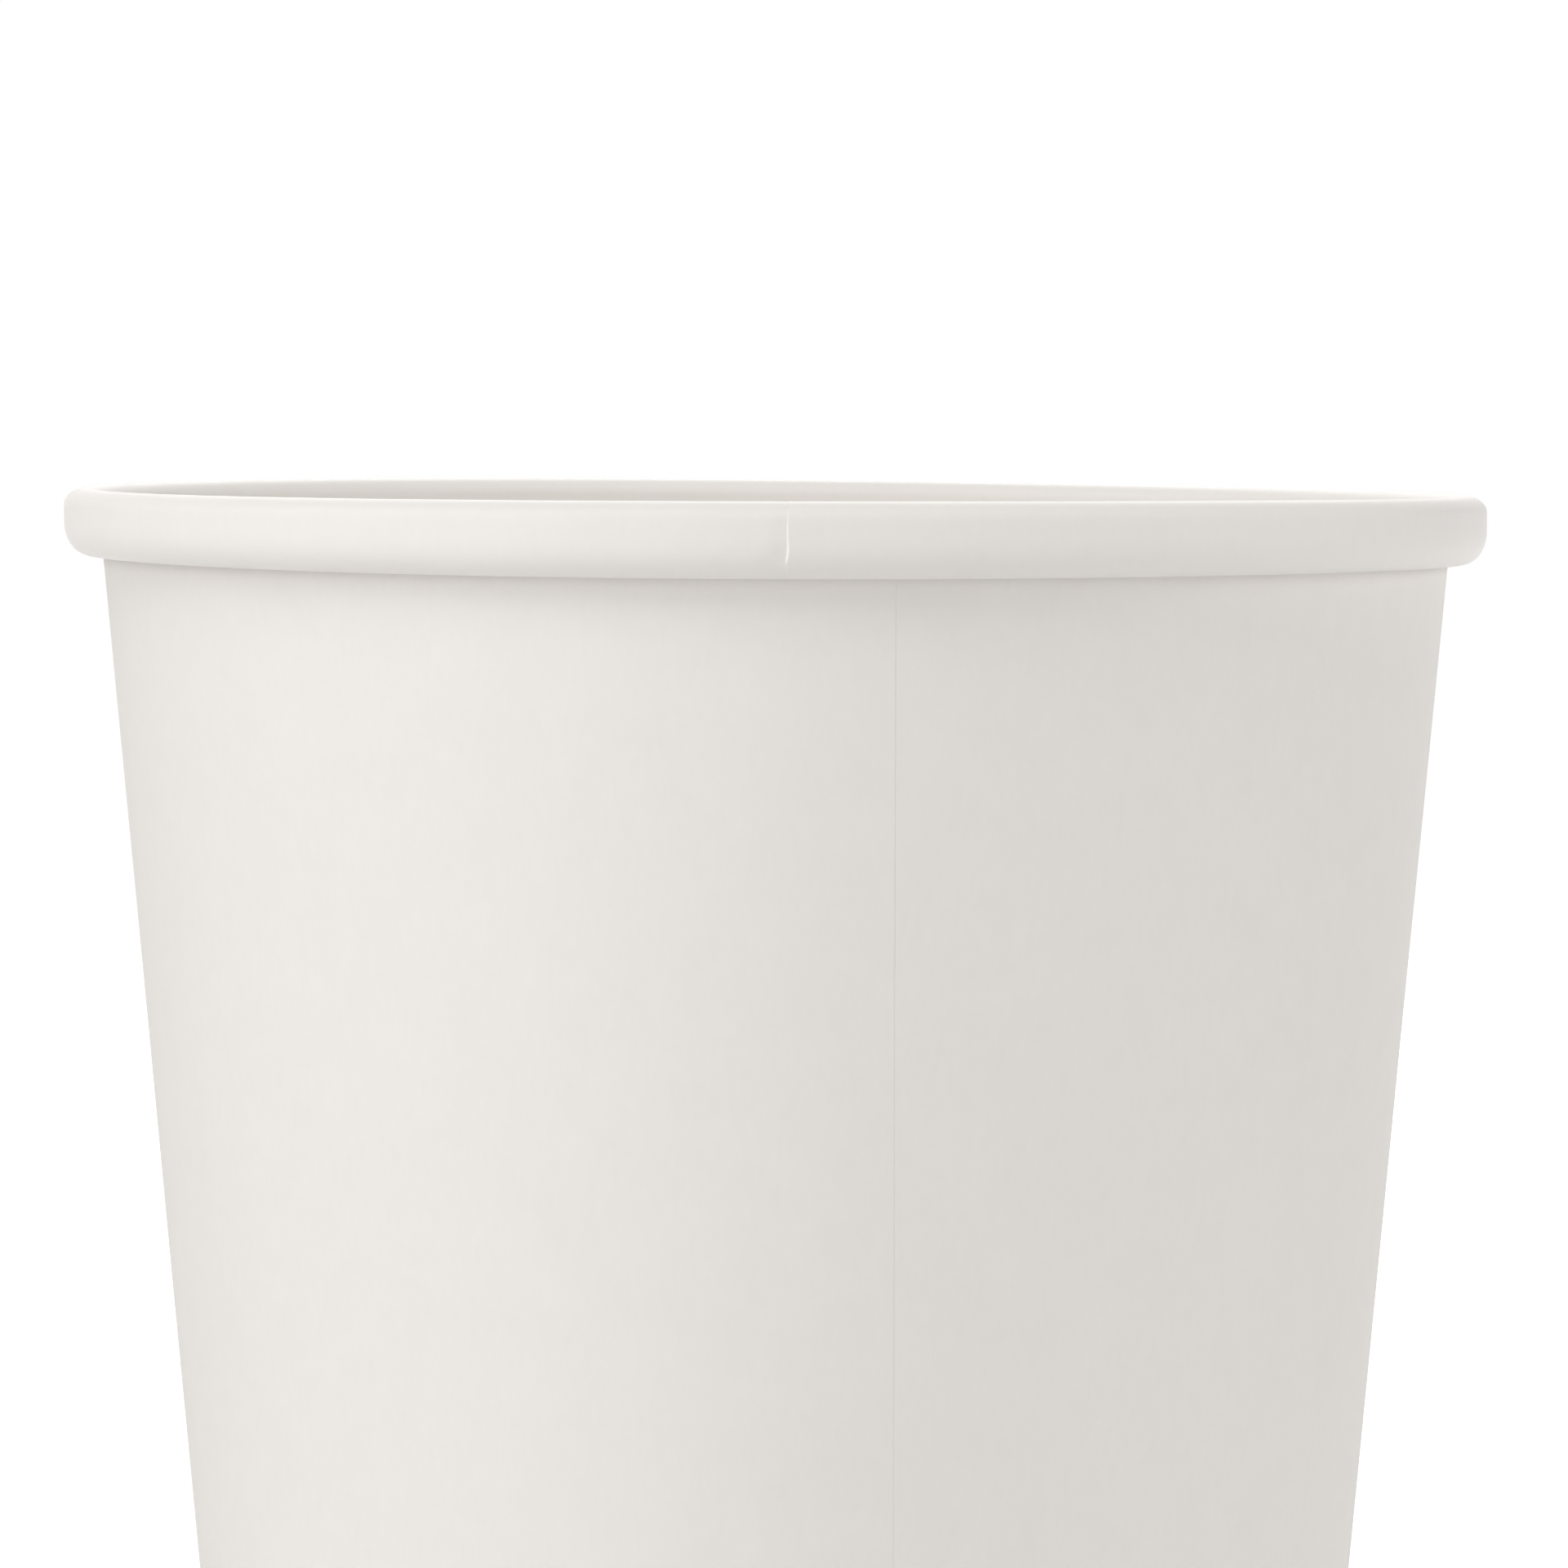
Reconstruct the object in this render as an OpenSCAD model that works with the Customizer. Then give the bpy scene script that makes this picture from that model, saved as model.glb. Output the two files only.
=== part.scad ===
// Paper soup cup: one sheet of paperboard wrapped into a cone, with a rolled rim and a folded foot,
// and a bottom disc whose skirt is sealed in the fold. Millimetres, +Z up, and the origin is the
// centre of the foot on the surface that the cup stands on. The cup's front faces -Y.

/* [Cup] */
// Height from the foot to the top of the rim
cup_h = 99; // [60:1:140]
// Outer diameter over the rolled rim
rim_d = 98; // [85:1:120]
// Outer diameter of the wall at the foot
foot_d = 75; // [60:1:80]
// Thickness of the side wall's paperboard
board_t = 0.45; // [0.3:0.05:0.5]

/* [Rolled rim] */
// Height of the roll
roll_h = 5; // [4.5:0.1:7]
// Width of the roll, from the face of the mouth to its outer side
roll_w = 2.8; // [2.7:0.1:4]
// Radius of the sheet where it turns over at the mouth
mouth_r = 1.2; // [0.8:0.1:1.3]
// Radius of the roll's upper corner
roll_top_r = 1.3; // [0.8:0.1:1.3]
// Radius of the roll's lower corner
roll_bottom_r = 2; // [1:0.1:2.5]
// Radius of the hidden curl that the sheet ends in, inside the roll
curl_r = 1.1; // [0.8:0.1:1.2]
// Gap between the tucked edge and the wall
tuck_gap = 0.06; // [0.04:0.01:0.1]

/* [Foot] */
// Inner radius of the tight folds, at the foot and at the tucked edge
fold_r = 0.1; // [0.05:0.05:0.2]
// How far the hem folded up inside the foot ends below the disc's bend
hem_drop = 0.6; // [0.2:0.1:4]

/* [Bottom disc] */
// Thickness of the disc's paperboard
disc_t = 0.4; // [0.3:0.05:0.5]
// Height of the disc's upper face above the foot
disc_h = 8; // [7:0.5:15]
// Radius where the disc turns down into its skirt
disc_r = 0.9; // [0.6:0.1:1.5]
// Clearance on each side of the skirt
skirt_gap = 0.05; // [0.03:0.01:0.1]

/* [Side seam] */
// Width of the lap
lap_w = 7; // [4:0.5:10]
// How far the lap stands out of the wall after pressing
lap_step = 0.15; // [0.05:0.05:0.2]
// Place of the lap's inner edge, to the right of the cup's front
lap_x = 0.6; // [-5:0.1:5]
// Width of the dip beside the lap's inner edge
dip_w = 0.5; // [0.3:0.1:1]
// Depth of the dip
dip_d = 0.15; // [0.05:0.05:0.2]

/* [Hidden] */

$fn = 180;
corner_fn = 48;
paper = [0.92, 0.9, 0.88];
raw_paper = [0.88, 0.86, 0.82];

// The sheet is drawn as a half section: x is the distance from the cup's axis and y is the height.
rim_x = rim_d / 2;
mouth_x = rim_x - roll_w;
mouth_y = cup_h - mouth_r;
roll_y = cup_h - roll_h;

// The fold at the foot is a tight turn round the skirt of the bottom disc.
fold_y = fold_r + board_t;
foot_x = foot_d / 2 - board_t;
hem_back = disc_t + 2 * skirt_gap;

// The tucked edge stands beside the wall, and the roll's lower corner fits between it and the outer side,
// with at least a short flat underside between them.
least_flat = 0.02;
tuck_y = roll_y + fold_y;
tuck_x = hundredth(wall_face(tuck_y) + board_t + tuck_gap + fold_y);
bottom_r = min(roll_bottom_r, rim_x - tuck_x - least_flat);
bottom_x = rim_x - bottom_r;
bottom_y = roll_y + bottom_r;
top_x = rim_x - roll_top_r;
top_y = cup_h - roll_top_r;

disc_bend_y = disc_h - disc_r;
disc_edge_x = hundredth(wall_face(disc_bend_y)) - skirt_gap;
hem_y = disc_bend_y - hem_drop;

// A cutter or a mask passes this far beyond what it cuts.
past = 0.5;

// The places where straight and curved stretches of the sheet meet are kept to a hundredth of a millimetre.
function hundredth(v) = round(v * 100) / 100;

// Distance of the wall's inner face from the axis at height y
function wall_face(y) = foot_x + (mouth_x - foot_x) * (y - fold_y) / (mouth_y - fold_y);

// A quarter turn of sheet round a centre, in the quadrant that side points to
module turn(centre, inner, outer, side) {
    translate(centre)
        intersection() {
            difference() {
                circle(outer, $fn = corner_fn);
                circle(inner, $fn = corner_fn);
            }
            translate([min(side[0], 0) * (outer + past), min(side[1], 0) * (outer + past)])
                square(outer + past);
        }
}

// A straight stretch of sheet between two corners
module run(from, to) {
    translate([min(from[0], to[0]), min(from[1], to[1])])
        square([abs(to[0] - from[0]), abs(to[1] - from[1])]);
}

// The wall between two depths, counted outward from its inner face
module wall_band(near, far, low, high) {
    polygon([
        [wall_face(low) + near, low],
        [wall_face(low) + far, low],
        [wall_face(high) + far, high],
        [wall_face(high) + near, high]
    ]);
}

// The visible face of the roll, from the mouth over the top and down to the underside, as a band of
// the sheet between two depths under that face
module roll_band(near, far) {
    turn([mouth_x + mouth_r, mouth_y], mouth_r - far, mouth_r - near, [-1, 1]);
    run([mouth_x + mouth_r, cup_h - far], [top_x, cup_h - near]);
    turn([top_x, top_y], roll_top_r - far, roll_top_r - near, [1, 1]);
    run([rim_x - far, bottom_y], [rim_x - near, top_y]);
    turn([bottom_x, bottom_y], bottom_r - far, bottom_r - near, [1, -1]);
}

// The end of the sheet inside the roll: in along the underside, up beside the wall and over
module tucked_edge() {
    run([tuck_x, roll_y], [bottom_x, roll_y + board_t]);
    turn([tuck_x, tuck_y], fold_r, fold_y, [-1, -1]);
    turn([tuck_x - fold_y + curl_r, tuck_y], curl_r - board_t, curl_r, [-1, 1]);
}

// The foot: under the skirt and up inside it
module foot_fold() {
    hem_x = foot_x - hem_back;
    turn([foot_x - fold_r, fold_y], fold_r, fold_y, [1, -1]);
    run([hem_x + fold_r, 0], [foot_x - fold_r, board_t]);
    turn([hem_x + fold_r, fold_y], fold_r, fold_y, [-1, -1]);
    wall_band(-hem_back - board_t, -hem_back, fold_y, hem_y);
}

// The lap's outer layer, which shows as a low step on the wall
module lap() {
    intersection() {
        rotate_extrude()
            wall_band(board_t / 2, board_t + lap_step, fold_y, roll_y);
        translate([lap_x, -rim_d, 0])
            cube([lap_w, rim_d, cup_h]);
    }
}

// The dip where the sheet passes under the lap's inner edge, on the cup's inner face and over the roll
module lap_dip() {
    intersection() {
        rotate_extrude() {
            wall_band(-past, dip_d, disc_h, mouth_y);
            roll_band(-past, dip_d);
        }
        translate([lap_x - dip_w, -rim_d, 0])
            cube([dip_w, rim_d, cup_h + past]);
    }
}

// The side wall: one sheet with its rim, its foot and its seam
module sidewall() {
    color(paper)
        difference() {
            union() {
                rotate_extrude() {
                    wall_band(0, board_t, fold_y, mouth_y);
                    roll_band(0, board_t);
                    tucked_edge();
                    foot_fold();
                }
                lap();
            }
            lap_dip();
        }
}

// The bottom: a flat disc with its edge turned down between the wall and the hem
module bottom_disc() {
    color(raw_paper)
        rotate_extrude() {
            run([0, disc_h - disc_t], [disc_edge_x - disc_r, disc_h]);
            turn([disc_edge_x - disc_r, disc_bend_y], disc_r - disc_t, disc_r, [1, 1]);
            polygon([
                [foot_x - skirt_gap - disc_t, fold_y],
                [foot_x - skirt_gap, fold_y],
                [disc_edge_x, disc_bend_y],
                [disc_edge_x - disc_t, disc_bend_y]
            ]);
        }
}

sidewall();
bottom_disc();
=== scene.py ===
import math

import bmesh
import bpy
from mathutils import Matrix, Vector


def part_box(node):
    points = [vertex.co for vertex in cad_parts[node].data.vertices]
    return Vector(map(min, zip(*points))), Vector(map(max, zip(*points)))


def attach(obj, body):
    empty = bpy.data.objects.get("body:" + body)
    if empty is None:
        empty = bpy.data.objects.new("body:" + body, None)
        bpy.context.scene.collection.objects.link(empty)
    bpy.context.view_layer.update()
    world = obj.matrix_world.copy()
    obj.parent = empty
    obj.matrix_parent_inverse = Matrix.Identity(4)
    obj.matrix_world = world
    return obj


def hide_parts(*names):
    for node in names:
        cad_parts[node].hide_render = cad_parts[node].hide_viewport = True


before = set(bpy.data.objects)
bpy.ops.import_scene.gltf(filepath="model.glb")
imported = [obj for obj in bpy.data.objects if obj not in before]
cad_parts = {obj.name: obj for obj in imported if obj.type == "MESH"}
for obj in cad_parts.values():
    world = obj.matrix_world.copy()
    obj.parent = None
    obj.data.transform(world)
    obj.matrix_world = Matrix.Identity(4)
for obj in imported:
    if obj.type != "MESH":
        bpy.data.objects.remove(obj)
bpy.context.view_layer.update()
mm = 0.001  # the sizes below are in millimetres, as the board is cut and rolled


# The cup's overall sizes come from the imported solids.
wallLow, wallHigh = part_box("sidewall")
discLow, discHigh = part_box("bottom_disc")

cup = {
    "rimRadius": wallHigh.x / mm,
    "height": wallHigh.z / mm,
    "footRadius": 37.5,
    "board": 0.45,
    "mouthRadius": 1.2,  # where the sheet turns over at the mouth
    "rollWidth": 2.8,
    "rollHeight": 5.0,
    "topCorner": 1.45,  # width of the roll's upper corner
    "topCornerFall": 1.2,  # and its height
    "bottomCorner": 2.15,  # width of the roll's lower corner
    "bottomCornerRise": 2.8,  # and its height
    "squareness": 2.4,  # of the lower corner: 2 is an ellipse, and more is fuller
    "underStartDeg": 272.0,  # where the lower corner comes out of the tucked edge
    "curl": 1.1,  # the hidden end of the sheet, inside the roll
    "fold": 0.1,  # inner radius of the tight folds
    "hemHeight": 6.5,
}

disc = {
    "top": discHigh.z / mm,
    "board": 0.4,
    "bend": 0.9,
    "clearance": 0.05,
    "steps": 256,
    "flatRows": 12,  # rings on the flat, and down the skirt
    "skirtRows": 5,
}


def arcPoints(centre, radius, startDeg, endDeg, steps, rise=None, power=2.0):
    # Points on an arc, each with the angle that its face looks towards. An arc that isn't round has a
    # height of its own, rise, and a power over 2 makes it fuller than an ellipse.
    rise = rise or radius
    points = []
    for i in range(steps + 1):
        angle = math.radians(startDeg + (endDeg - startDeg) * i / steps)
        x, y = (math.copysign(abs(v) ** (2 / power), v) for v in (math.cos(angle), math.sin(angle)))
        outX, outY = (math.copysign(abs(v) ** (power - 1), v) for v in (x, y))
        looks = math.atan2(outY / rise, outX / radius)
        points.append((centre[0] + radius * x, centre[1] + rise * y, looks))
    return points


def wallFace(y):
    # radius of the wall's inner face at height y
    low = cup["fold"] + cup["board"]
    footFace = cup["footRadius"] - cup["board"]
    mouthFace = cup["rimRadius"] - cup["rollWidth"]
    mouthY = cup["height"] - cup["mouthRadius"]
    return footFace + (mouthFace - footFace) * (y - low) / (mouthY - low)


def sheetSection():
    # The sheet's inner face, followed from its end inside the roll to the top of the hem in the foot.
    # Each row holds radius, height, the direction into the board, and how far down the roll it lies
    # as a share of the roll's height (-1 for the mouth, the wall and the hem).
    rows = []
    top, board = cup["height"], cup["board"]
    rollY = top - cup["rollHeight"]
    foldY = cup["fold"] + board

    def shareAt(y, inRoll):
        return (top - y) / cup["rollHeight"] if inRoll else -1.0

    def addTurn(centre, radius, startDeg, endDeg, steps, depthSign, inRoll, skip=0, rise=None, power=2.0):
        for x, y, angle in arcPoints(centre, radius, startDeg, endDeg, steps, rise, power)[skip:]:
            rows.append((x, y, depthSign * math.cos(angle), depthSign * math.sin(angle), shareAt(y, inRoll)))

    def addLine(start, end, steps, depth, inRoll):
        for i in range(1, steps):
            x = start[0] + (end[0] - start[0]) * i / steps
            y = start[1] + (end[1] - start[1]) * i / steps
            rows.append((x, y, depth[0], depth[1], shareAt(y, inRoll)))

    bottomWidth, underStart = cup["bottomCorner"], cup["underStartDeg"]
    bottomCentre = (cup["rimRadius"] - bottomWidth, rollY + cup["bottomCornerRise"])
    bottomForm = {"rise": cup["bottomCornerRise"], "power": cup["squareness"]}
    underX, underY, underAngle = arcPoints(bottomCentre, bottomWidth, underStart, 360, 1, **bottomForm)[0]
    tuckX, tuckY = underX - foldY * math.cos(underAngle), underY - foldY * math.sin(underAngle)
    print("gap beside the tucked edge: %.3f mm" % (tuckX - foldY - wallFace(tuckY) - board))
    topCentre = (cup["rimRadius"] - cup["topCorner"], top - cup["topCornerFall"])
    mouthX = cup["rimRadius"] - cup["rollWidth"]
    mouthY = top - cup["mouthRadius"]

    addTurn((tuckX - foldY + cup["curl"], tuckY), cup["curl"], 90, 180, 8, -1, True)
    addTurn((tuckX, tuckY), foldY, 180, math.degrees(underAngle) + 360, 7, -1, True, skip=1)
    addTurn(bottomCentre, bottomWidth, underStart, 360, 16, -1, True, skip=1, **bottomForm)
    addLine((cup["rimRadius"], bottomCentre[1]), (cup["rimRadius"], topCentre[1]), 2, (-1, 0), True)
    addTurn(topCentre, cup["topCorner"], 0, 90, 10, -1, True, rise=cup["topCornerFall"])
    addTurn((mouthX + cup["mouthRadius"], mouthY), cup["mouthRadius"], 90, 180, 10, -1, False)
    footX = cup["footRadius"] - board
    slope = math.atan2(mouthX - footX, mouthY - foldY)
    addLine((mouthX, mouthY), (footX, foldY), 26, (math.cos(slope), -math.sin(slope)), False)
    hemX = footX - disc["board"] - 2 * disc["clearance"]
    addTurn((footX - cup["fold"], foldY), cup["fold"], 0, -90, 6, 1, False)
    addTurn((hemX + cup["fold"], foldY), cup["fold"], -90, -180, 6, 1, False)
    hemTop = (hemX + wallFace(cup["hemHeight"]) - footX, cup["hemHeight"])
    addLine((hemX, foldY), hemTop, 5, (-math.cos(slope), math.sin(slope)), False)
    rows.append((*hemTop, -math.cos(slope), math.sin(slope), -1.0))
    return rows


# How much of the lap's cut edge shows down the roll (by share of its height) and down the inside (by
# depth in mm), and how far to the side it stands on the roll, in mm
cutEdge = {
    "rollStep": [(0.0, 0.02), (0.18, 0.04), (0.26, 0.10), (0.34, 0.17), (0.50, 0.19), (0.58, 0.44),
                 (0.72, 0.47), (0.78, 0.24), (0.82, 0.02), (1.0, 0.02)],
    "rollShift": [(0.0, 0.0), (0.4, 0.0), (0.58, 0.07), (0.68, 0.05), (0.80, -0.10), (1.0, -0.10)],
    "wallStep": [(0.0, 0.10), (2.0, 0.2), (12.0, 0.8), (30.0, 1.0)],
}


def along(points, x):
    # a value on a line of straight stretches
    for (x0, y0), (x1, y1) in zip(points, points[1:]):
        if x <= x1:
            return y0 + (y1 - y0) * max(x - x0, 0.0) / (x1 - x0)
    return points[-1][1]


def sectionObject(rows):
    # a helper that the node tree reads row by row
    mesh = bpy.data.meshes.new("sheetSection")
    links = [(i, i + 1) for i in range(len(rows) - 1)]
    mesh.from_pydata([(r[0] * mm, 0.0, r[1] * mm) for r in rows], links, [])
    intoBoard = mesh.attributes.new("intoBoard", "FLOAT_VECTOR", "POINT")
    for i, row in enumerate(rows):
        intoBoard.data[i].vector = (row[2], 0.0, row[3])
    top = cup["height"]

    def stepAt(row):
        return along(cutEdge["rollStep"], row[4]) if row[4] >= 0 else along(cutEdge["wallStep"], top - row[1])

    columns = {
        "rollShare": [max(r[4], 0.0) for r in rows],
        "cutStep": [stepAt(r) for r in rows],
        "cutShift": [along(cutEdge["rollShift"], max(r[4], 0.0)) * mm for r in rows],
    }
    for name, values in columns.items():
        mesh.attributes.new(name, "FLOAT", "POINT").data.foreach_set("value", values)
    helper = bpy.data.objects.new("sheetSection", mesh)
    bpy.context.scene.collection.objects.link(helper)
    return helper


# One sheet of board, wrapped once round and lapped over its own start
wrap = {
    "columns": 340,
    "seamDensity": 0.9,  # share by which the columns' spacing shrinks at the seam
    "lapWidth": 7.0 * mm,
    "lapPlace": 0.8 * mm,  # to the right of the front
    "lapStep": 0.04 * mm,  # what the pressed lap stands out
    "underThickness": 0.28 * mm,  # of the lower layer at its cut edge, where that shows in full
    "feather": 5.0 * mm,  # the outer end is pressed thin over this width
    "edgeStep": 0.005 * mm,
    "outerRamp": 6.0 * mm,
    "dipStart": 1.25 * mm,  # how far before the cut edge the upper layer starts to bend under it
    "dipEnd": 0.35 * mm,  # and how far before it the bend is done
    "cutFade": 1.2 * mm,  # the cut edge's own slant and shift are gone at this distance from it
    "cutSlant": 0.16 * mm,
    "slantGain": 3.0,  # the slant is full where a third of the step shows
    "plyGap": 0.002 * mm,
    "lip": 0.06 * mm,
    "lipWidth": 0.5 * mm,
    "tiltAcross": -0.24 * mm,  # the rim stands higher on its left
    "tiltDeep": -0.06 * mm,
    "saddleAcross": -0.05 * mm,
    "saddleDeep": -0.10 * mm,
    "rimDrop": 0.24 * mm,  # keeps the highest place of the uneven rim at the cup's height
    "tiltFrom": 55.0 * mm,  # the height where the rim's unevenness begins
    "rollGrowth": -0.145 * mm,  # how much taller the roll is: on average, from side to side and as a saddle
    "rollGrowthAcross": 0.063 * mm,
    "rollGrowthSaddle": -0.195 * mm,
    "waver": 0.035 * mm,
    "waverSize": 30.0 * mm,
    "stillBelow": 12.0 * mm,  # no waver up to this height, and all of it from the next one up
    "freeAbove": 40.0 * mm,
    "pressedBelow": 0.8 * mm,  # the lap is flat up to this height, and stands out in full from the next one up
    "standsAbove": 4.0 * mm,
    "seed": 4.0,
}


class nodeDesk:
    # short names for the node calls that a tree repeats
    def __init__(self, tree):
        self.tree = tree

    def feed(self, socket, value):
        if isinstance(value, bpy.types.NodeSocket):
            self.tree.links.new(value, socket)
        else:
            socket.default_value = value

    def put(self, kind, settings=None, **inputs):
        node = self.tree.nodes.new(kind)
        for name, value in (settings or {}).items():
            setattr(node, name, value)
        for name, value in inputs.items():
            self.feed(node.inputs[name.replace("_", " ")], value)
        return node

    def calc(self, operation, *values):
        node = self.tree.nodes.new("ShaderNodeMath")
        node.operation = operation
        for socket, value in zip(node.inputs, values):
            self.feed(socket, value)
        return node.outputs[0]

    def ramp(self, value, low, high):
        # 0 below low, 1 above high, smooth between
        node = self.tree.nodes.new("ShaderNodeMapRange")
        node.interpolation_type = "SMOOTHSTEP"
        self.feed(node.inputs["Value"], value)
        self.feed(node.inputs["From Min"], low)
        self.feed(node.inputs["From Max"], high)
        return node.outputs["Result"]

    def mix(self, share, low, high):
        return self.calc("MULTIPLY_ADD", self.calc("SUBTRACT", high, low), share, low)

    def split(self, vector):
        node = self.tree.nodes.new("ShaderNodeSeparateXYZ")
        self.feed(node.inputs[0], vector)
        return node.outputs

    def join(self, x, y, z):
        node = self.tree.nodes.new("ShaderNodeCombineXYZ")
        for socket, value in zip(node.inputs, (x, y, z)):
            self.feed(socket, value)
        return node.outputs[0]


def wrapTree(rowCount):
    tree = bpy.data.node_groups.new("wrapSheet", "GeometryNodeTree")
    face = tree.interface
    for name in wrap:
        kind = "NodeSocketInt" if name == "columns" else "NodeSocketFloat"
        face.new_socket(name=name, in_out="INPUT", socket_type=kind)
    for name in ("board", "rimHeight", "rollHeight"):
        face.new_socket(name=name, in_out="INPUT", socket_type="NodeSocketFloat")
    face.new_socket(name="section", in_out="INPUT", socket_type="NodeSocketObject")
    for name in ("innerFace", "outerFace", "cutEdge"):
        face.new_socket(name=name, in_out="INPUT", socket_type="NodeSocketMaterial")
    face.new_socket(name="cup", in_out="OUTPUT", socket_type="NodeSocketGeometry")
    desk = nodeDesk(tree)
    given = desk.put("NodeGroupInput").outputs
    calc, ramp, mix = desk.calc, desk.ramp, desk.mix

    # the flat blank: a closed slab, columns round the cup and rows along the section
    blank = desk.put("GeometryNodeMeshCube", Size=(1.0, 1.0, 1.0), Vertices_X=given["columns"],
                     Vertices_Y=rowCount, Vertices_Z=2).outputs["Mesh"]
    keep = desk.put("GeometryNodeCaptureAttribute", {"domain": "FACE"}, Geometry=blank)
    keep.capture_items.new("VECTOR", "blankNormal")
    desk.feed(keep.inputs["blankNormal"], desk.put("GeometryNodeInputNormal").outputs["Normal"])
    x, y, z = desk.split(desk.put("GeometryNodeInputPosition").outputs["Position"])
    around, depth = calc("ADD", x, 0.5), calc("ADD", z, 0.5)
    row = calc("ROUND", calc("MULTIPLY", calc("ADD", y, 0.5), rowCount - 1.0))

    # what the section says at this row
    sheet = desk.put("GeometryNodeObjectInfo", Object=given["section"]).outputs["Geometry"]

    def atRow(kind, field):
        node = desk.put("GeometryNodeSampleIndex", {"data_type": kind}, Geometry=sheet, Index=row)
        desk.feed(node.inputs["Value"], field)
        return node.outputs["Value"]

    def named(kind, name):
        node = desk.put("GeometryNodeInputNamedAttribute", {"data_type": kind}, Name=name)
        return node.outputs["Attribute"]

    onFace = desk.split(atRow("FLOAT_VECTOR", desk.put("GeometryNodeInputPosition").outputs["Position"]))
    faceX, faceZ = onFace[0], onFace[2]
    intoBoard = desk.split(atRow("FLOAT_VECTOR", named("FLOAT_VECTOR", "intoBoard")))
    intoX, intoZ = intoBoard[0], intoBoard[2]
    rollShare = atRow("FLOAT", named("FLOAT", "rollShare"))
    step = atRow("FLOAT", named("FLOAT", "cutStep"))
    under = calc("MULTIPLY", given["underThickness"], step)
    shift = atRow("FLOAT", named("FLOAT", "cutShift"))

    # distance along the sheet from its start, with the columns gathered at the seam
    gather = calc("MULTIPLY", calc("SINE", calc("MULTIPLY", around, math.tau)),
                  calc("DIVIDE", given["seamDensity"], math.tau))
    total = calc("MULTIPLY_ADD", faceX, math.tau, given["lapWidth"])
    run = calc("MULTIPLY", calc("SUBTRACT", around, gather), total)
    atStart = calc("SUBTRACT", 1.0, ramp(run, 0.0, given["cutFade"]))
    fullness = calc("MINIMUM", calc("MULTIPLY", step, given["slantGain"]), 1.0)
    bevel = calc("MULTIPLY", given["cutSlant"], fullness)
    slant = calc("MULTIPLY", atStart, calc("SUBTRACT", calc("MULTIPLY", depth, bevel), shift))
    turn = calc("DIVIDE", calc("ADD", calc("SUBTRACT", run, slant), given["lapPlace"]), faceX)
    sine, cosine = calc("SINE", turn), calc("COSINE", turn)

    # the lap: past is the distance beyond the lower layer's cut edge
    past = calc("SUBTRACT", run, calc("SUBTRACT", total, given["lapWidth"]))
    featherStart = calc("SUBTRACT", given["lapWidth"], given["feather"])
    lowerTop = mix(ramp(run, featherStart, given["lapWidth"]), under, given["board"])
    overTop = mix(ramp(past, featherStart, given["lapWidth"]), calc("ADD", under, given["plyGap"]),
                  calc("ADD", given["board"], given["plyGap"]))
    dip = ramp(past, calc("MULTIPLY", given["dipStart"], -1.0), calc("MULTIPLY", given["dipEnd"], -1.0))
    nearDepth = calc("MULTIPLY", overTop, dip)
    stand = mix(ramp(past, featherStart, given["lapWidth"]), given["lapStep"], given["edgeStep"])
    # pressed flat where the sheet folds under the foot
    stand = calc("MULTIPLY", stand, ramp(faceZ, given["pressedBelow"], given["standsAbove"]))
    rising = ramp(past, calc("MULTIPLY", given["outerRamp"], -1.0), 0.0)
    raised = calc("MULTIPLY_ADD", stand, rising, given["board"])
    isOver = calc("GREATER_THAN", around, 0.5)
    farDepth = mix(isOver, lowerTop, raised)
    # the cut edge stands up a little in a lip
    nearCut = calc("SUBTRACT", 1.0, ramp(run, 0.0, given["lipWidth"]))
    lip = calc("MULTIPLY", calc("MULTIPLY", given["lip"], step), nearCut)
    inBoard = calc("SUBTRACT", mix(depth, nearDepth, farDepth), lip)

    # the rim's slight unevenness, fading out down the wall
    high = ramp(faceZ, given["tiltFrom"], calc("SUBTRACT", given["rimHeight"], given["rollHeight"]))
    across, deep = sine, calc("MULTIPLY", cosine, -1.0)
    saddle = calc("SUBTRACT", calc("MULTIPLY", across, across), calc("MULTIPLY", deep, deep))
    twist = calc("MULTIPLY", calc("MULTIPLY", across, deep), 2.0)

    def swing(*pairs):
        swung = 0.0
        for amount, wave in pairs:
            swung = calc("MULTIPLY_ADD", amount, wave, swung)
        return swung

    uneven = swing((given["tiltAcross"], across), (given["tiltDeep"], deep),
                   (given["saddleAcross"], saddle), (given["saddleDeep"], twist))
    lift = calc("MULTIPLY", high, calc("SUBTRACT", uneven, given["rimDrop"]))
    growth = calc("ADD", given["rollGrowth"],
                  swing((given["rollGrowthAcross"], across), (given["rollGrowthSaddle"], saddle)))
    lift = calc("SUBTRACT", lift, calc("MULTIPLY", rollShare, growth))

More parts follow.
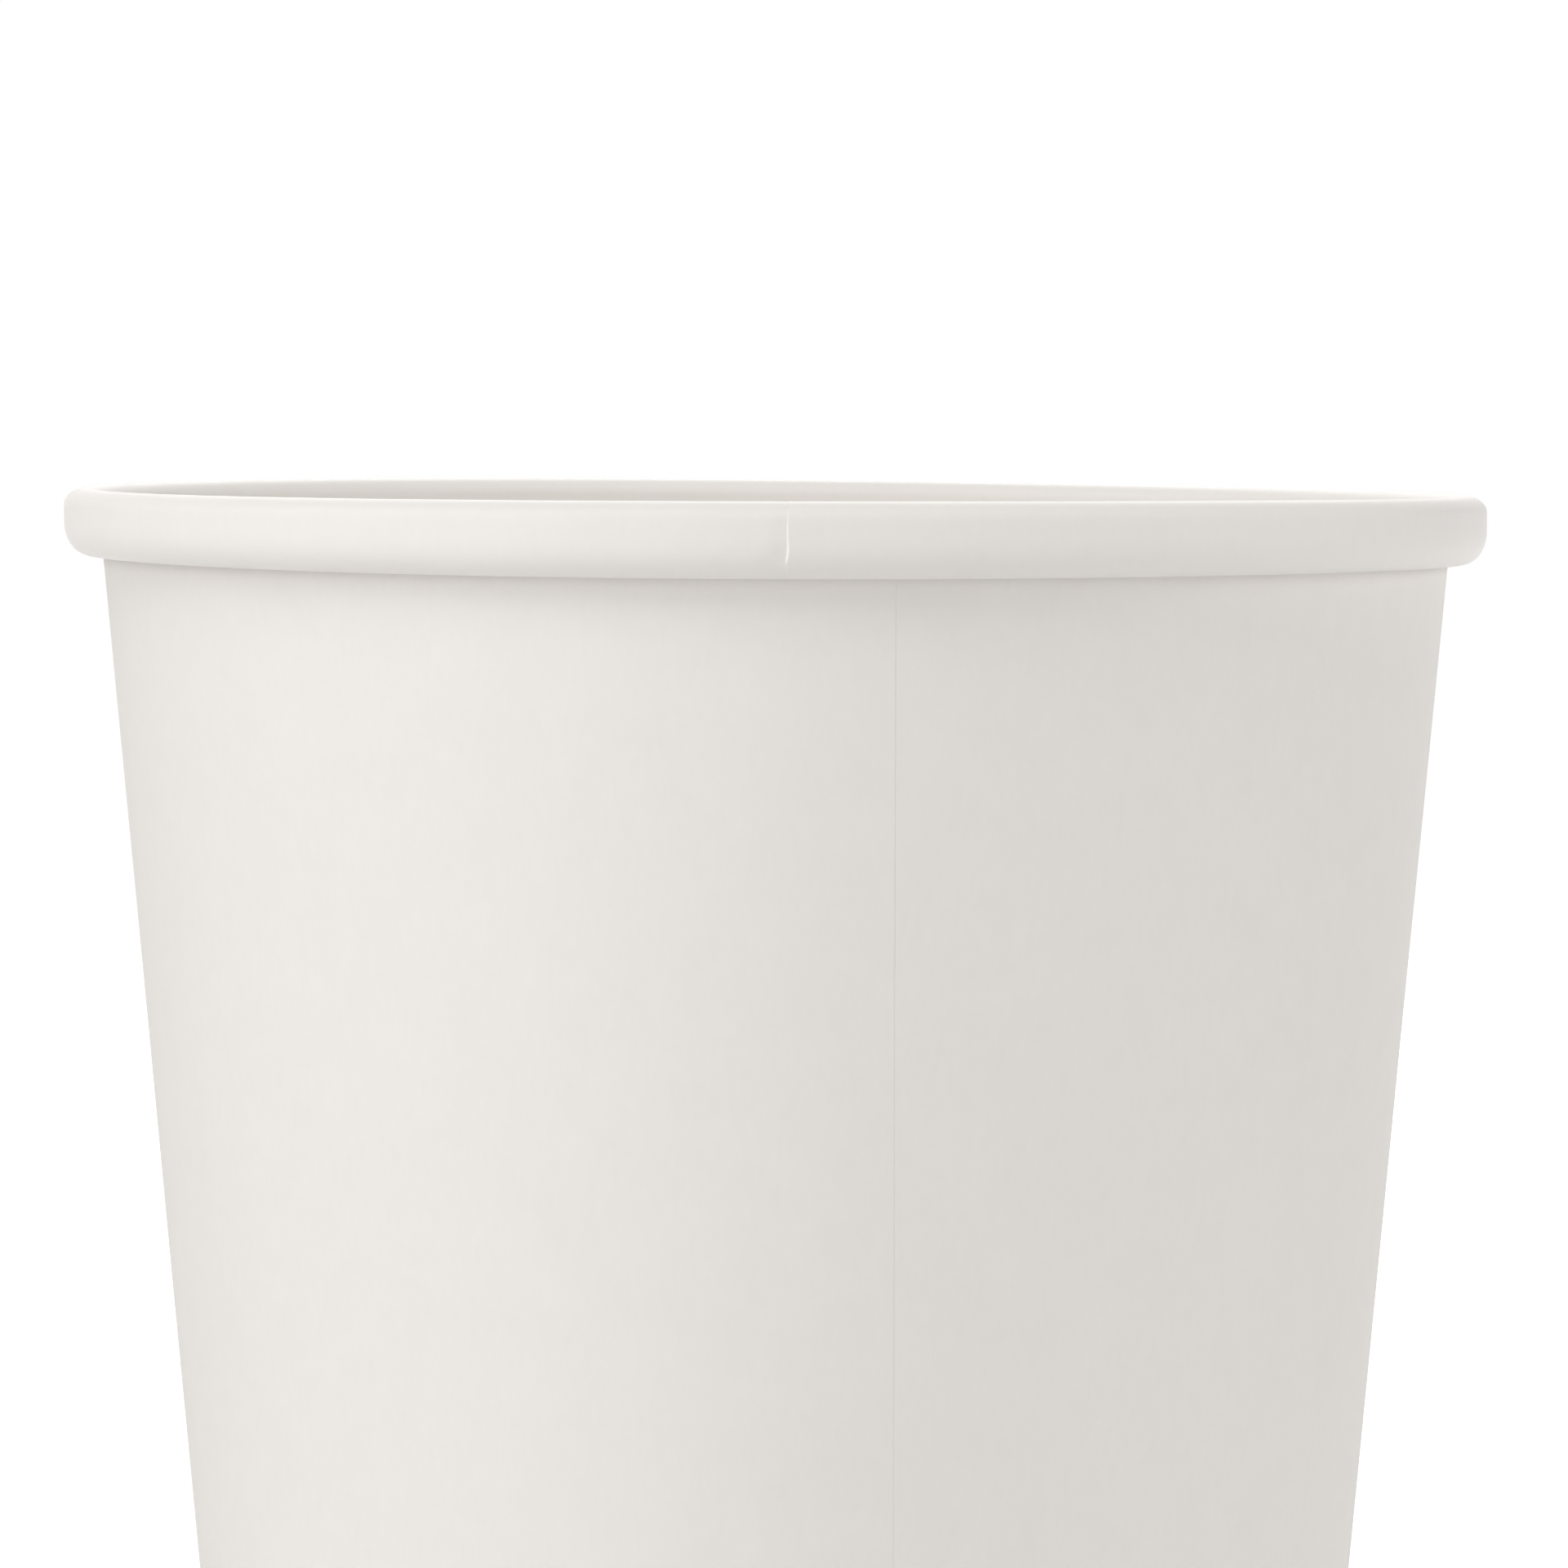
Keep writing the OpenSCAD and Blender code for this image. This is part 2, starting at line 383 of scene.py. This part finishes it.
    # a slow waver of the board, which the foot's tight fold holds still
    noise = desk.put("ShaderNodeTexNoise", {"noise_dimensions": "4D"}, W=given["seed"], Detail=1.0)
    onWall = desk.join(calc("MULTIPLY", faceX, sine), calc("MULTIPLY", faceX, cosine), faceZ)
    desk.feed(noise.inputs["Vector"], onWall)
    desk.feed(noise.inputs["Scale"], calc("DIVIDE", 1.0, given["waverSize"]))
    free = ramp(faceZ, given["stillBelow"], given["freeAbove"])
    waver = calc("MULTIPLY", calc("MULTIPLY", calc("SUBTRACT", noise.outputs[0], 0.5), free),
                 calc("MULTIPLY", given["waver"], 2.0))
    outX = calc("ADD", calc("MULTIPLY_ADD", intoX, inBoard, faceX), waver)
    outZ = calc("ADD", calc("MULTIPLY_ADD", intoZ, inBoard, faceZ), lift)
    outY = calc("MULTIPLY", calc("MULTIPLY", outX, cosine), -1.0)
    place = desk.join(calc("MULTIPLY", outX, sine), outY, outZ)
    bent = desk.put("GeometryNodeSetPosition", Geometry=keep.outputs["Geometry"], Position=place)

    # faces of the slab tell which side of the board they are
    side = desk.split(keep.outputs["blankNormal"])[2]
    isInner, isOuter = calc("LESS_THAN", side, -0.5), calc("GREATER_THAN", side, 0.5)
    smooth = desk.put("GeometryNodeSetShadeSmooth", Geometry=bent.outputs["Geometry"],
                      Shade_Smooth=calc("ADD", isInner, isOuter))
    whole = desk.put("GeometryNodeRealizeInstances", Geometry=smooth.outputs["Geometry"]).outputs["Geometry"]
    for name, which in (("cutEdge", None), ("innerFace", isInner), ("outerFace", isOuter)):
        painted = desk.put("GeometryNodeSetMaterial", Geometry=whole, Material=given[name])
        if which is not None:
            desk.feed(painted.inputs["Selection"], which)
        whole = painted.outputs["Geometry"]
    desk.put("NodeGroupOutput", cup=whole)
    return tree


def wrappedSheet(materials):
    rows = sheetSection()
    helper = sectionObject(rows)
    tree = wrapTree(len(rows))
    maker = bpy.data.objects.new("sheetMaker", bpy.data.meshes.new("sheetMaker"))
    bpy.context.scene.collection.objects.link(maker)
    modifier = maker.modifiers.new("wrap", "NODES")
    modifier.node_group = tree
    values = dict(wrap, board=cup["board"] * mm, rimHeight=cup["height"] * mm,
                  rollHeight=cup["rollHeight"] * mm, section=helper, **materials)
    for item in tree.interface.items_tree:
        if item.in_out == "INPUT":
            modifier[item.identifier] = values[item.name]
    view = bpy.context.evaluated_depsgraph_get()
    mesh = bpy.data.meshes.new_from_object(maker.evaluated_get(view))
    maker.modifiers.remove(modifier)
    for done in (maker, helper):
        bpy.data.objects.remove(done)
    mesh.name = "paperWall"
    if mesh.materials[0] is None:
        mesh.materials.pop(index=0)
    wall = bpy.data.objects.new("paperWall", mesh)
    bpy.context.scene.collection.objects.link(wall)
    print("wall:", len(rows), "rows,", len(mesh.polygons), "faces")
    return wall


def turnedDisc(material):
    # the disc's board, drawn as a closed half section and spun about the cup's axis
    board, bend = disc["board"], disc["bend"]
    bendY = disc["top"] - bend
    edgeX = wallFace(bendY) - disc["clearance"]
    foldY = cup["fold"] + cup["board"]
    skirtX = cup["footRadius"] - cup["board"] - disc["clearance"]
    centre = (edgeX - bend, bendY)
    flatRows, skirtRows = disc["flatRows"], disc["skirtRows"]
    across, down = (skirtX - edgeX) / skirtRows, (foldY - bendY) / skirtRows
    outline = [(0.0, disc["top"])]
    outline += [(centre[0] * i / flatRows, disc["top"]) for i in range(1, flatRows)]
    outline += [p[:2] for p in arcPoints(centre, bend, 90, 0, 8)]
    outline += [(edgeX + across * i, bendY + down * i) for i in range(1, skirtRows + 1)]
    outline += [(skirtX - board - across * i, foldY - down * i) for i in range(skirtRows)]
    outline += [p[:2] for p in arcPoints(centre, bend - board, 0, 90, 6)]
    outline += [(centre[0] * i / flatRows, disc["top"] - board) for i in range(flatRows - 1, 0, -1)]
    outline += [(0.0, disc["top"] - board)]
    build = bmesh.new()
    ring = [build.verts.new((x * mm, 0.0, y * mm)) for x, y in outline]
    edges = [build.edges.new(pair) for pair in zip(ring, ring[1:])]
    bmesh.ops.spin(build, geom=ring + edges, cent=(0, 0, 0), axis=(0, 0, 1), angle=math.tau,
                   steps=disc["steps"], use_merge=True)
    bmesh.ops.remove_doubles(build, verts=build.verts, dist=1e-6)
    bmesh.ops.recalc_face_normals(build, faces=build.faces)
    for face in build.faces:
        face.smooth = True
    for edge in build.edges:
        if len(edge.link_faces) == 2 and edge.calc_face_angle() > math.radians(40):
            edge.smooth = False
    mesh = bpy.data.meshes.new("bottomDisc")
    build.to_mesh(mesh)
    build.free()
    mesh.materials.append(material)
    base = bpy.data.objects.new("bottomDisc", mesh)
    bpy.context.scene.collection.objects.link(base)
    print("disc:", len(mesh.polygons), "faces")
    return base


# Paper finishes. Each one is a warm white with the cloudy formation and the fine fibres of board.
finishes = {
    "coatedFace": {
        "colour": (0.887, 0.853, 0.819), "cloud": 0.012, "fibre": 0.012, "roughness": 0.5,
        "grain": 0.10, "specular": 0.10,
    },
    "printFace": {
        "colour": (0.880, 0.845, 0.812), "cloud": 0.016, "fibre": 0.016, "roughness": 0.65,
        "grain": 0.16, "specular": 0.05,
    },
    "cutBoard": {
        "colour": (0.915, 0.895, 0.865), "cloud": 0.02, "fibre": 0.06, "roughness": 0.85,
        "grain": 0.6, "specular": 0.05,
    },
    "discBoard": {
        "colour": (0.86, 0.83, 0.795), "cloud": 0.02, "fibre": 0.02, "roughness": 0.55,
        "grain": 0.2, "specular": 0.10,
    },
}

# What the papers share. The noise scales are in cycles a metre.
pulp = {
    "cloudScale": 260.0,  # the pulp's formation, about 4 mm across
    "fibreScale": 1900.0,
    "fibreStretch": (1.0, 1.0, 0.35),  # fibres lie mostly up the wall
    "poreScale": 5200.0,
    "poreShare": 0.3,  # of the relief
    "roughnessSpread": 0.12,
    "reliefDepth": 0.06 * mm,
}


def paperMaterial(name):
    look = finishes[name]
    material = bpy.data.materials.new(name)
    material.use_nodes = True
    tree = material.node_tree
    tree.nodes.clear()
    desk = nodeDesk(tree)
    calc = desk.calc
    place = desk.put("ShaderNodeTexCoord").outputs["Object"]

    def noise(scale, detail, stretch=(1.0, 1.0, 1.0)):
        spread = desk.put("ShaderNodeMapping", Vector=place, Scale=stretch).outputs["Vector"]
        return desk.put("ShaderNodeTexNoise", Vector=spread, Scale=scale, Detail=detail).outputs[0]

    cloud = noise(pulp["cloudScale"], 3.0)
    fibre = noise(pulp["fibreScale"], 4.0, pulp["fibreStretch"])
    pore = noise(pulp["poreScale"], 2.0)
    tone = calc("ADD", calc("MULTIPLY", calc("SUBTRACT", cloud, 0.5), look["cloud"] * 2),
                calc("MULTIPLY", calc("SUBTRACT", fibre, 0.5), look["fibre"] * 2))
    level = calc("ADD", tone, 1.0)
    colour = desk.join(*(calc("MULTIPLY", level, share) for share in look["colour"]))
    rough = calc("MULTIPLY_ADD", calc("SUBTRACT", fibre, 0.5), pulp["roughnessSpread"], look["roughness"])
    relief = desk.mix(pulp["poreShare"], fibre, pore)
    bump = desk.put("ShaderNodeBump", Strength=look["grain"], Distance=pulp["reliefDepth"], Height=relief)
    shader = desk.put("ShaderNodeBsdfPrincipled", Base_Color=colour, Roughness=rough,
                      Normal=bump.outputs["Normal"])
    shader.inputs["Specular IOR Level"].default_value = look["specular"]
    desk.put("ShaderNodeOutputMaterial", Surface=shader.outputs["BSDF"])
    return material


studio = {
    "worldLevel": 0.30,
    "floorHalf": 4.0,
    "floorDrop": 0.00005,
    "floorColour": (0.86, 0.86, 0.86),
    "glowNear": 0.22,  # what lifts the lit floor to white in the picture, near the cup and away from it
    "glowFar": 0.78,
    "glowFrom": 0.05,
    "glowTo": 0.30,
    "footGlow": 0.19,  # under the cup, so that the foot's recess isn't black from below
    "footGlowRadius": 0.0372,
    "lampAim": (0.0, 0.0, 0.06),
    "lampDistance": 1.2,
}

# Soft round lamps: azimuth from the cup's front towards its right, elevation, diameter and power
lamps = {
    "keyHigh": {"azimuth": -30, "elevation": 52, "size": 0.7, "power": 4.8},
    "keySide": {"azimuth": -70, "elevation": 25, "size": 0.7, "power": 2.8},
    "frontLow": {"azimuth": -15, "elevation": 18, "size": 0.7, "power": 1.87},
    "rightFill": {"azimuth": 92, "elevation": 15, "size": 0.7, "power": 3.92},
    "back": {"azimuth": 180, "elevation": 35, "size": 0.7, "power": 4.4},
}

lens = {
    "place": (0.0, -0.750, 0.11126),
    "focalPixels": 13306.0,
    "pictureSide": 1920.0,
    "sensor": 36.0,
    "yawDeg": 0.0463,
    "pitchDeg": 2.50,
    "rollDeg": 0.075,
}


def backgroundShare(desk):
    # 1 for what the camera sees directly, in a reflection or through something clear
    path = desk.put("ShaderNodeLightPath").outputs
    return desk.calc("MAXIMUM", desk.calc("MAXIMUM", path["Is Camera Ray"], path["Is Glossy Ray"]),
                     path["Is Transmission Ray"])


def makeWorld():
    world = bpy.data.worlds.new("studio")
    bpy.context.scene.world = world
    world.use_nodes = True
    world.node_tree.nodes.clear()
    desk = nodeDesk(world.node_tree)
    level = desk.mix(backgroundShare(desk), studio["worldLevel"], 1.0)
    sky = desk.put("ShaderNodeBackground", Color=(1.0, 1.0, 1.0, 1.0), Strength=level)
    desk.put("ShaderNodeOutputWorld", Surface=sky.outputs["Background"])


def makeFloor():
    half, low = studio["floorHalf"], -studio["floorDrop"]
    mesh = bpy.data.meshes.new("floor")
    corners = [(-half, -half, low), (half, -half, low), (half, half, low), (-half, half, low)]
    mesh.from_pydata(corners, [], [(0, 1, 2, 3)])
    floor = bpy.data.objects.new("floor", mesh)
    bpy.context.scene.collection.objects.link(floor)
    material = bpy.data.materials.new("floor")
    material.use_nodes = True
    tree = material.node_tree
    tree.nodes.clear()
    desk = nodeDesk(tree)
    pale = desk.put("ShaderNodeBsdfDiffuse", Color=(*studio["floorColour"], 1.0)).outputs[0]
    away = desk.put("ShaderNodeVectorMath", {"operation": "LENGTH"})
    tree.links.new(desk.put("ShaderNodeTexCoord").outputs["Object"], away.inputs[0])
    level = desk.mix(desk.ramp(away.outputs["Value"], studio["glowFrom"], studio["glowTo"]),
                     studio["glowNear"], studio["glowFar"])
    underCup = desk.calc("LESS_THAN", away.outputs["Value"], studio["footGlowRadius"])
    strength = desk.mix(underCup, desk.calc("MULTIPLY", backgroundShare(desk), level), studio["footGlow"])
    glow = desk.put("ShaderNodeEmission", Strength=strength)
    both = desk.put("ShaderNodeAddShader")
    tree.links.new(pale, both.inputs[0])
    tree.links.new(glow.outputs[0], both.inputs[1])
    # seen from below the floor is clear, so that the foot shows
    below = desk.put("ShaderNodeMixShader", Fac=desk.put("ShaderNodeNewGeometry").outputs["Backfacing"])
    tree.links.new(both.outputs[0], below.inputs[1])
    tree.links.new(desk.put("ShaderNodeBsdfTransparent").outputs[0], below.inputs[2])
    desk.put("ShaderNodeOutputMaterial", Surface=below.outputs[0])
    mesh.materials.append(material)
    return floor


def makeLamps():
    aim = Vector(studio["lampAim"])
    for name, facts in lamps.items():
        azimuth, elevation = math.radians(facts["azimuth"]), math.radians(facts["elevation"])
        way = Vector((math.sin(azimuth) * math.cos(elevation), -math.cos(azimuth) * math.cos(elevation),
                      math.sin(elevation)))
        data = bpy.data.lights.new(name, "AREA")
        data.shape, data.size, data.energy = "DISK", facts["size"], facts["power"]
        lamp = bpy.data.objects.new(name, data)
        bpy.context.scene.collection.objects.link(lamp)
        lamp.location = aim + way * studio["lampDistance"]
        lamp.rotation_euler = (-way).to_track_quat("-Z", "Y").to_euler()
        lamp.visible_camera = False


def makeCamera():
    data = bpy.data.cameras.new("camera")
    data.sensor_width = lens["sensor"]
    data.lens = lens["focalPixels"] / lens["pictureSide"] * lens["sensor"]
    data.clip_start, data.clip_end = 0.05, 20.0
    camera = bpy.data.objects.new("camera", data)
    bpy.context.scene.collection.objects.link(camera)
    yaw, pitch, roll = (math.radians(lens[k]) for k in ("yawDeg", "pitchDeg", "rollDeg"))
    forward = Vector((math.sin(yaw) * math.cos(pitch), math.cos(yaw) * math.cos(pitch), -math.sin(pitch)))
    right = Vector((math.cos(yaw), -math.sin(yaw), 0.0))
    up = right.cross(forward)
    tippedRight = math.cos(roll) * right + math.sin(roll) * up
    tippedUp = -math.sin(roll) * right + math.cos(roll) * up
    turn = Matrix((tippedRight, tippedUp, -forward)).transposed().to_4x4()
    camera.matrix_world = Matrix.Translation(lens["place"]) @ turn
    bpy.context.scene.camera = camera


makeCamera()
makeWorld()
makeFloor()
makeLamps()
bpy.context.scene.view_settings.view_transform = "Standard"
print("stage set")

paperWall = wrappedSheet({
    "innerFace": paperMaterial("coatedFace"),
    "outerFace": paperMaterial("printFace"),
    "cutEdge": paperMaterial("cutBoard"),
})
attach(paperWall, "root")
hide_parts("sidewall")

bottomDisc = turnedDisc(paperMaterial("discBoard"))
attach(bottomDisc, "root")
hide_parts("bottom_disc")
